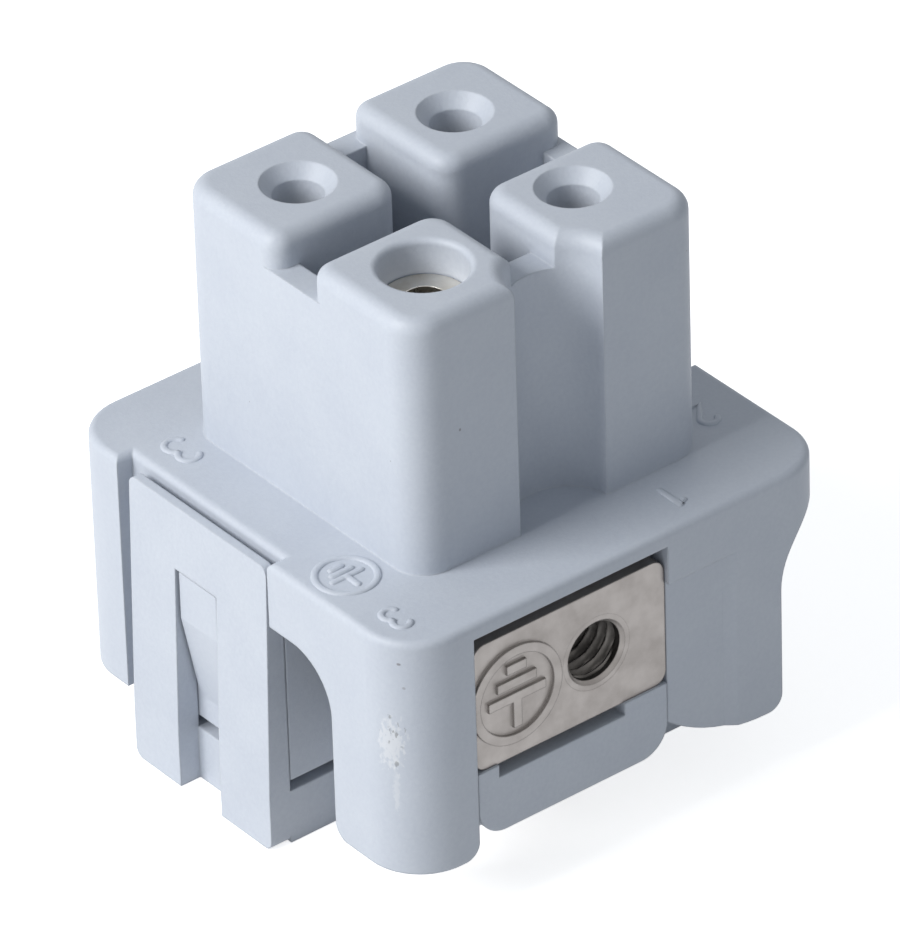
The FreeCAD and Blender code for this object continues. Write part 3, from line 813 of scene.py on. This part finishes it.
@dataclass
class ClampScrew:
    """A headless slotted M3 screw that clamps a wire in its terminal.

    Attributes:
        node: The solid that it stands for.
        body: The body that it moves with.
        way: The face that it is driven from.
        radius_mm: The radius of its thread's crest.
        root_mm: The radius of its thread's root.
        pitch_mm: How far one turn moves along.
        chamfer_mm: How wide the chamfer of each end is.
        slot_mm: How wide the driver slot is.
        slot_deep_mm: How deep the driver slot is.
        closing: The share of an end's radius at which its face closes.
        past_mm: How far the slot's cutter runs past the screw.
    """

    node: str
    body: str
    way: Way
    radius_mm: float = 1.45
    root_mm: float = 1.17
    pitch_mm: float = 0.5
    chamfer_mm: float = 0.3
    slot_mm: float = 0.5
    slot_deep_mm: float = 0.8
    closing: float = 0.001
    past_mm: float = 0.5

    def build(self, finish: bpy.types.Material) -> bpy.types.Object:
        """Build the threaded screw in place of its plain solid.

        Args:
            finish: The zinc plate.

        Returns:
            The piece.
        """
        low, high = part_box(self.node)
        out = Vector(self.way.value)
        middle = (low + high) / 2
        half = abs((high - low).dot(out)) / 2
        long = 2 * half / MM
        thread = Thread(self.radius_mm, self.root_mm, self.pitch_mm, long)
        tip = self.radius_mm - self.chamfer_mm
        limit = [
            (0.0, tip, tip),
            (self.chamfer_mm, self.root_mm, self.radius_mm),
            (long - self.chamfer_mm, self.root_mm, self.radius_mm),
            (long, tip, tip),
        ]
        rows = thread.rows(limit)
        ends = [[(x * self.closing, y * self.closing, z) for x, y, z in row] for row in (rows[0], rows[-1])]
        vertices, faces = woven([ends[0], *rows, ends[1]])
        piece = mesh_piece(f"{self.body}_threaded", vertices, faces)
        self._slot(piece, long)
        piece.data.transform(Matrix.Translation(middle - out * half) @ self.way.turn())
        piece.data.materials.clear()
        piece.data.materials.append(finish)
        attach(piece, self.body)
        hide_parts(self.node)
        report(piece)
        return piece

    def _slot(self, piece: bpy.types.Object, long: float) -> None:
        """Cut the driver slot across the outer end, before the screw is laid in place.

        Args:
            piece: The screw, still along +Z.
            long: How long it is, in millimetres.
        """
        wide, thin, deep = self.radius_mm + self.past_mm, self.slot_mm / 2, self.slot_deep_mm
        level = "x" if self.way in (Way.PLATE, Way.REAR) else "y"
        half_x, half_y = (wide, thin) if level == "x" else (thin, wide)
        outline = ((-half_x, -half_y), (half_x, -half_y), (half_x, half_y), (-half_x, half_y))
        corners = [(x, y, z) for z in (long - deep, long + self.past_mm) for x, y in outline]
        sides = [[0, 1, 5, 4], [1, 2, 6, 5], [2, 3, 7, 6], [3, 0, 4, 7], [3, 2, 1, 0], [4, 5, 6, 7]]
        cutter = mesh_piece(f"{piece.name}_cutter", corners, sides)
        cut = piece.modifiers.new("slot", "BOOLEAN")
        cut.operation = "DIFFERENCE"
        cut.solver = "EXACT"
        cut.object = cutter
        solved = piece.evaluated_get(bpy.context.evaluated_depsgraph_get())
        cut_mesh = bpy.data.meshes.new_from_object(solved)
        piece.modifiers.clear()
        piece.data = cut_mesh
        cut_mesh.set_sharp_from_angle(angle=math.radians(50.0))
        bpy.data.objects.remove(cutter)


@dataclass
class Studio:
    """A plain pale floor, a soft lamp, an even sky and the camera of the photograph, in metres and watts.

    Attributes:
        floor_side: The length of the floor's side.
        floor_drop_mm: How far the floor lies below the insert.
        floor_colour: The floor's grey.
        floor_glow: How much light the floor adds to itself where the background shows.
        key_power: The key lamp's power.
        key_place: Where the key lamp hangs.
        key_side: The length of the key lamp's side.
        aim: What the lamp looks at.
        sky: How bright the sky lights the insert.
        sky_colour: The sky's colour.
        look_at: The point that the camera is set out from.
        turn_degrees: The camera's azimuth, elevation and roll.
        distance: How far the camera stands from that point.
        offset: How far the camera stands off to the right and up.
        lens_mm: The focal length on a 36 mm sensor.
    """

    floor_side: float = 0.8
    floor_drop_mm: float = 0.02
    floor_colour: float = 0.8
    key_power: float = 0.86
    key_place: Place = (-0.24, 0.05, 0.19)
    sky: float = 0.335
    sky_colour: Colour = (0.88, 0.95, 1.03)
    floor_glow: float = 0.75
    key_side: float = 0.15
    aim: Place = (0.0, 0.0, 0.012)
    look_at: Place = (0.0, 0.0, 0.0153)
    turn_degrees: Place = (37.759, 34.042, -1.823)
    distance: float = 0.4041
    offset: Flat = (-0.0001455, 0.00299)
    lens_mm: float = 404.93

    def build(self) -> None:
        """Build the floor, the sky, the lamp and the camera."""
        self._floor()
        self._sky()
        self._key_lamp()
        self._camera()

    @staticmethod
    def _seen(shader_tree: bpy.types.NodeTree) -> Socket:
        """Find the rays that show the background to the camera, to metal or through glass.

        Args:
            shader_tree: The nodes of the floor or the sky.

        Returns:
            1 for such a ray and 0 for any other.
        """
        path = shader_tree.nodes.new("ShaderNodeLightPath")
        total = path.outputs["Is Camera Ray"]
        for name in ("Is Glossy Ray", "Is Transmission Ray"):
            most = shader_tree.nodes.new("ShaderNodeMath")
            most.operation = "MAXIMUM"
            shader_tree.links.new(total, most.inputs[0])
            shader_tree.links.new(path.outputs[name], most.inputs[1])
            total = most.outputs[0]
        return total

    def _floor(self) -> None:
        """Lay the floor, white to the camera apart from the object's shadow."""
        half, low = self.floor_side / 2 / MM, -self.floor_drop_mm
        corners = [(-half, -half, low), (half, -half, low), (half, half, low), (-half, half, low)]
        floor = mesh_piece("floor", corners, [[0, 1, 2, 3]])
        material = bpy.data.materials.new("floor_white")
        material.use_nodes = True
        tree = material.node_tree
        tree.nodes.clear()
        diffuse = tree.nodes.new("ShaderNodeBsdfDiffuse")
        grey = self.floor_colour
        diffuse.inputs["Color"].default_value = (grey, grey, grey, 1.0)
        glow = tree.nodes.new("ShaderNodeEmission")
        share = tree.nodes.new("ShaderNodeMath")
        share.operation = "MULTIPLY"
        share.inputs[1].default_value = self.floor_glow
        tree.links.new(self._seen(tree), share.inputs[0])
        tree.links.new(share.outputs[0], glow.inputs["Strength"])
        both = tree.nodes.new("ShaderNodeAddShader")
        out = tree.nodes.new("ShaderNodeOutputMaterial")
        tree.links.new(diffuse.outputs[0], both.inputs[0])
        tree.links.new(glow.outputs[0], both.inputs[1])
        tree.links.new(both.outputs[0], out.inputs["Surface"])
        floor.data.materials.append(material)

    def _sky(self) -> None:
        """Fill the world with even light that shows as white."""
        world = bpy.data.worlds.new("sky")
        world.use_nodes = True
        bpy.context.scene.world = world
        tree = world.node_tree
        tree.nodes.clear()
        light = tree.nodes.new("ShaderNodeBackground")
        light.inputs["Color"].default_value = (*self.sky_colour, 1.0)
        light.inputs["Strength"].default_value = self.sky
        white = tree.nodes.new("ShaderNodeBackground")
        white.inputs["Color"].default_value = (1.0, 1.0, 1.0, 1.0)
        pick = tree.nodes.new("ShaderNodeMixShader")
        out = tree.nodes.new("ShaderNodeOutputWorld")
        tree.links.new(self._seen(tree), pick.inputs[0])
        tree.links.new(light.outputs[0], pick.inputs[1])
        tree.links.new(white.outputs[0], pick.inputs[2])
        tree.links.new(pick.outputs[0], out.inputs["Surface"])

    def _key_lamp(self) -> None:
        """Hang the square soft lamp that looks at the insert."""
        data = bpy.data.lights.new("key", "AREA")
        data.shape = "SQUARE"
        data.size = self.key_side
        data.energy = self.key_power
        lamp = bpy.data.objects.new("key", data)
        bpy.context.scene.collection.objects.link(lamp)
        turn = (Vector(self.aim) - Vector(self.key_place)).to_track_quat("-Z", "Y").to_matrix().to_4x4()
        lamp.matrix_world = Matrix.Translation(self.key_place) @ turn

    def _camera(self) -> None:
        """Stand the camera where the photograph was taken from."""
        azimuth, elevation, roll = (math.radians(angle) for angle in self.turn_degrees)
        right_off, up_off = self.offset
        forward = Vector((
            math.sin(azimuth) * math.cos(elevation),
            math.cos(azimuth) * math.cos(elevation),
            -math.sin(elevation),
        ))
        level = forward.cross(Vector((0.0, 0.0, 1.0))).normalized()
        upright = level.cross(forward)
        right = math.cos(roll) * level + math.sin(roll) * upright
        up = math.cos(roll) * upright - math.sin(roll) * level
        data = bpy.data.cameras.new("photo_camera")
        data.sensor_width = 36.0
        data.lens = self.lens_mm
        data.clip_start, data.clip_end = 0.02, 5.0
        camera = bpy.data.objects.new("photo_camera", data)
        bpy.context.scene.collection.objects.link(camera)
        turn = Matrix((right, up, -forward)).transposed().to_4x4()
        place = Vector(self.look_at) - forward * self.distance - right * right_off - up * up_off
        camera.matrix_world = Matrix.Translation(place) @ turn
        bpy.context.scene.camera = camera


MARKS = (
    RaisedMark("mark_three", Glyph.THREE, (-8.28, 5.93), 1.7),
    RaisedMark("mark_earth", Glyph.EARTH, (-8.74, -4.8), 2.4, 0.3),
    RaisedMark("mark_three_front", Glyph.THREE, (-9.1, -8.22), 1.35),
    RaisedMark("mark_two", Glyph.TWO, (8.3, -5.3), 1.35),
    RaisedMark("mark_one", Glyph.ONE, (3.8, -8.8), 1.35),
)
SCREWS = (
    ClampScrew("left_clamp_screw", "left_screw", Way.REAR),
    ClampScrew("back_clamp_screw", "back_screw", Way.REAR),
    ClampScrew("right_clamp_screw", "right_screw", Way.FAR),
    ClampScrew("earth_clamp_screw", "earth_screw", Way.CLIP),
)


def main() -> None:
    """Load the solids, dress them, and light and frame the insert."""
    logging.basicConfig(level=logging.INFO, format="%(message)s")
    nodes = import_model()["nodes"]
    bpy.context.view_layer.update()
    bpy.context.scene.view_settings.view_transform = "Standard"
    Studio().build()
    finishes = Finishes()
    Mouldings(finishes, nodes).dress()
    for mark in MARKS:
        mark.build(finishes.body)
    EarthPlate(finishes, nodes).dress()
    Sockets(finishes, nodes).dress()
    for screw in SCREWS:
        screw.build(finishes.zinc)


if __name__ == "__main__":
    main()
